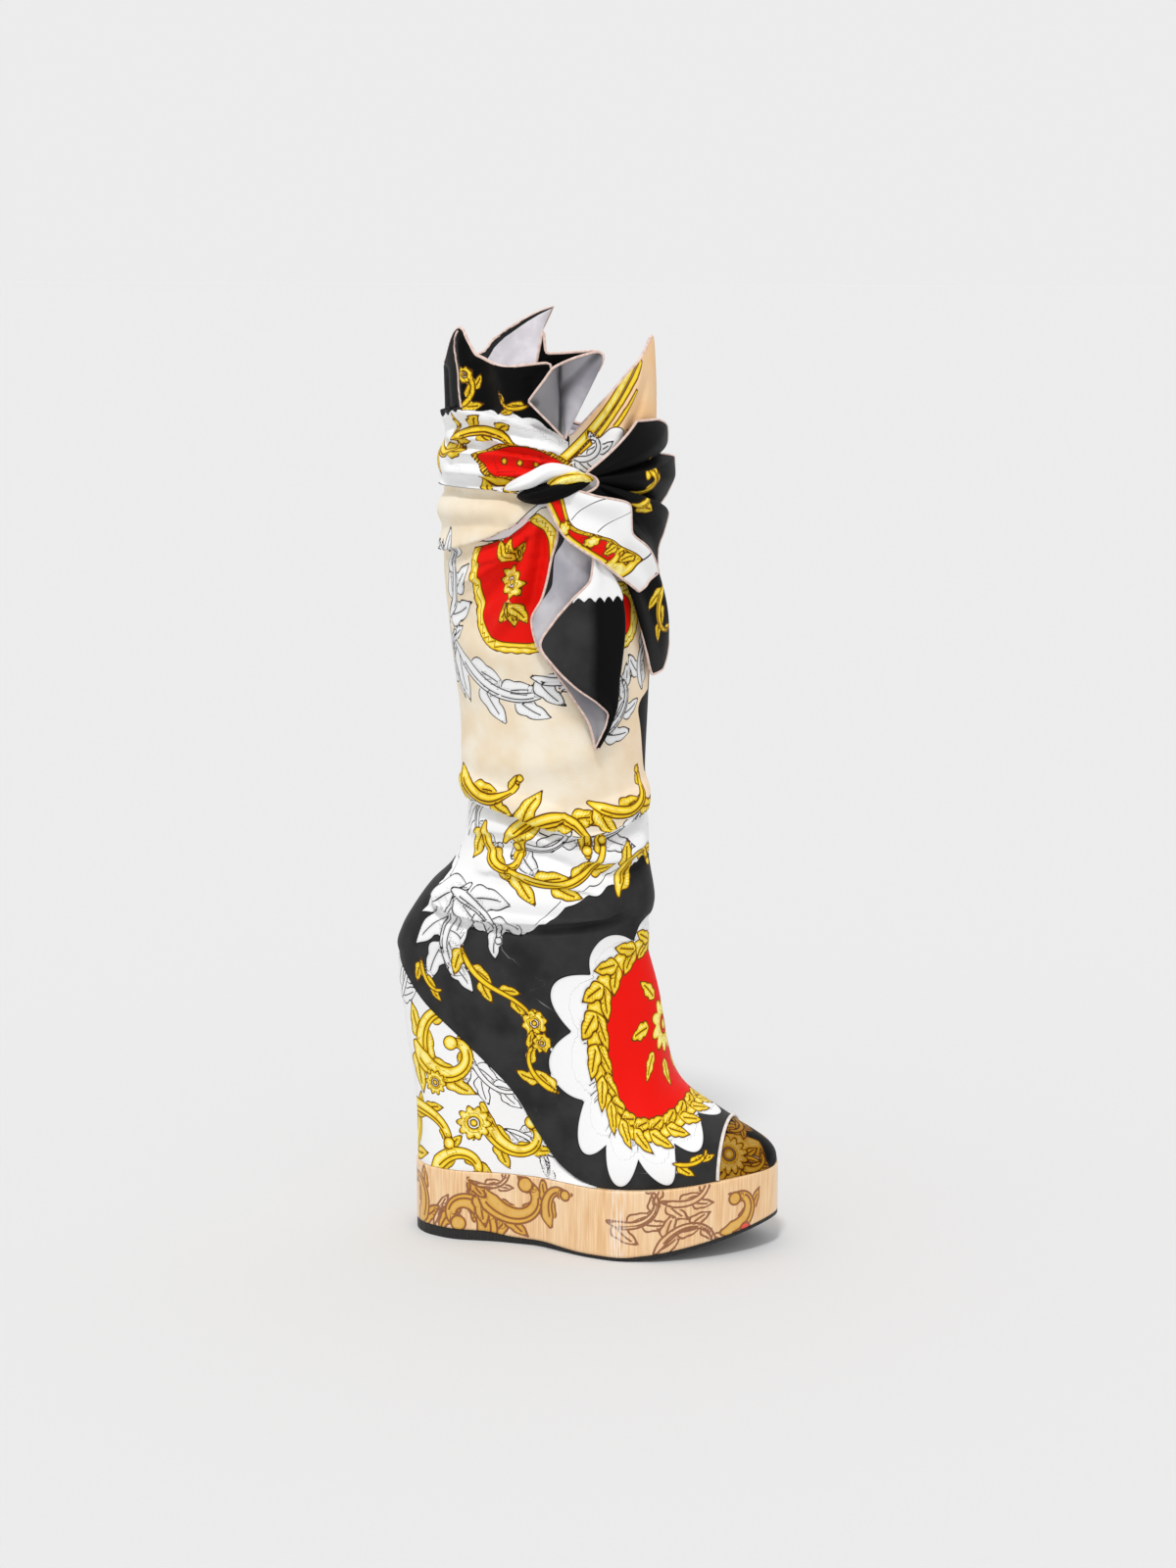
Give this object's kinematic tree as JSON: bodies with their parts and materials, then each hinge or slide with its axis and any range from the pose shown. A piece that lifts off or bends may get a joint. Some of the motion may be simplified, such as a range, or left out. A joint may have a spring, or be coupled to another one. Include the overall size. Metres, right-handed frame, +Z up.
{
  "type": "wedge boot",
  "caption": "Knee-high printed-cloth wedge boot with a knotted scarf at the shaft, a pointed collar, a wood-faced platform and a thin rubber outsole.",
  "frame": {"origin": "on the floor under the heel, at the middle of the heel's flat spot", "axes": "+X towards the toe, +Y towards the inner side of the foot, +Z up"},
  "size_m": [0.223, 0.1299, 0.5297],
  "materials": {
    "rubber": "matte",
    "wood": "satin",
    "wedge_print": "satin",
    "sock": "matte",
    "scarf_print": "satin",
    "toe_print": "satin",
    "binding": "matte",
    "scarf_black": "satin"
  },
  "bodies": {
    "root": {"outsole": "rubber", "platform": "wood", "wedge": "wedge_print", "insole": "sock", "upper": "scarf_print", "toe_cap": "toe_print", "toe_piping": "binding", "knot": "scarf_black", "tail_near": "scarf_black", "tail_front": "scarf_black"}
  },
  "joints": []
}
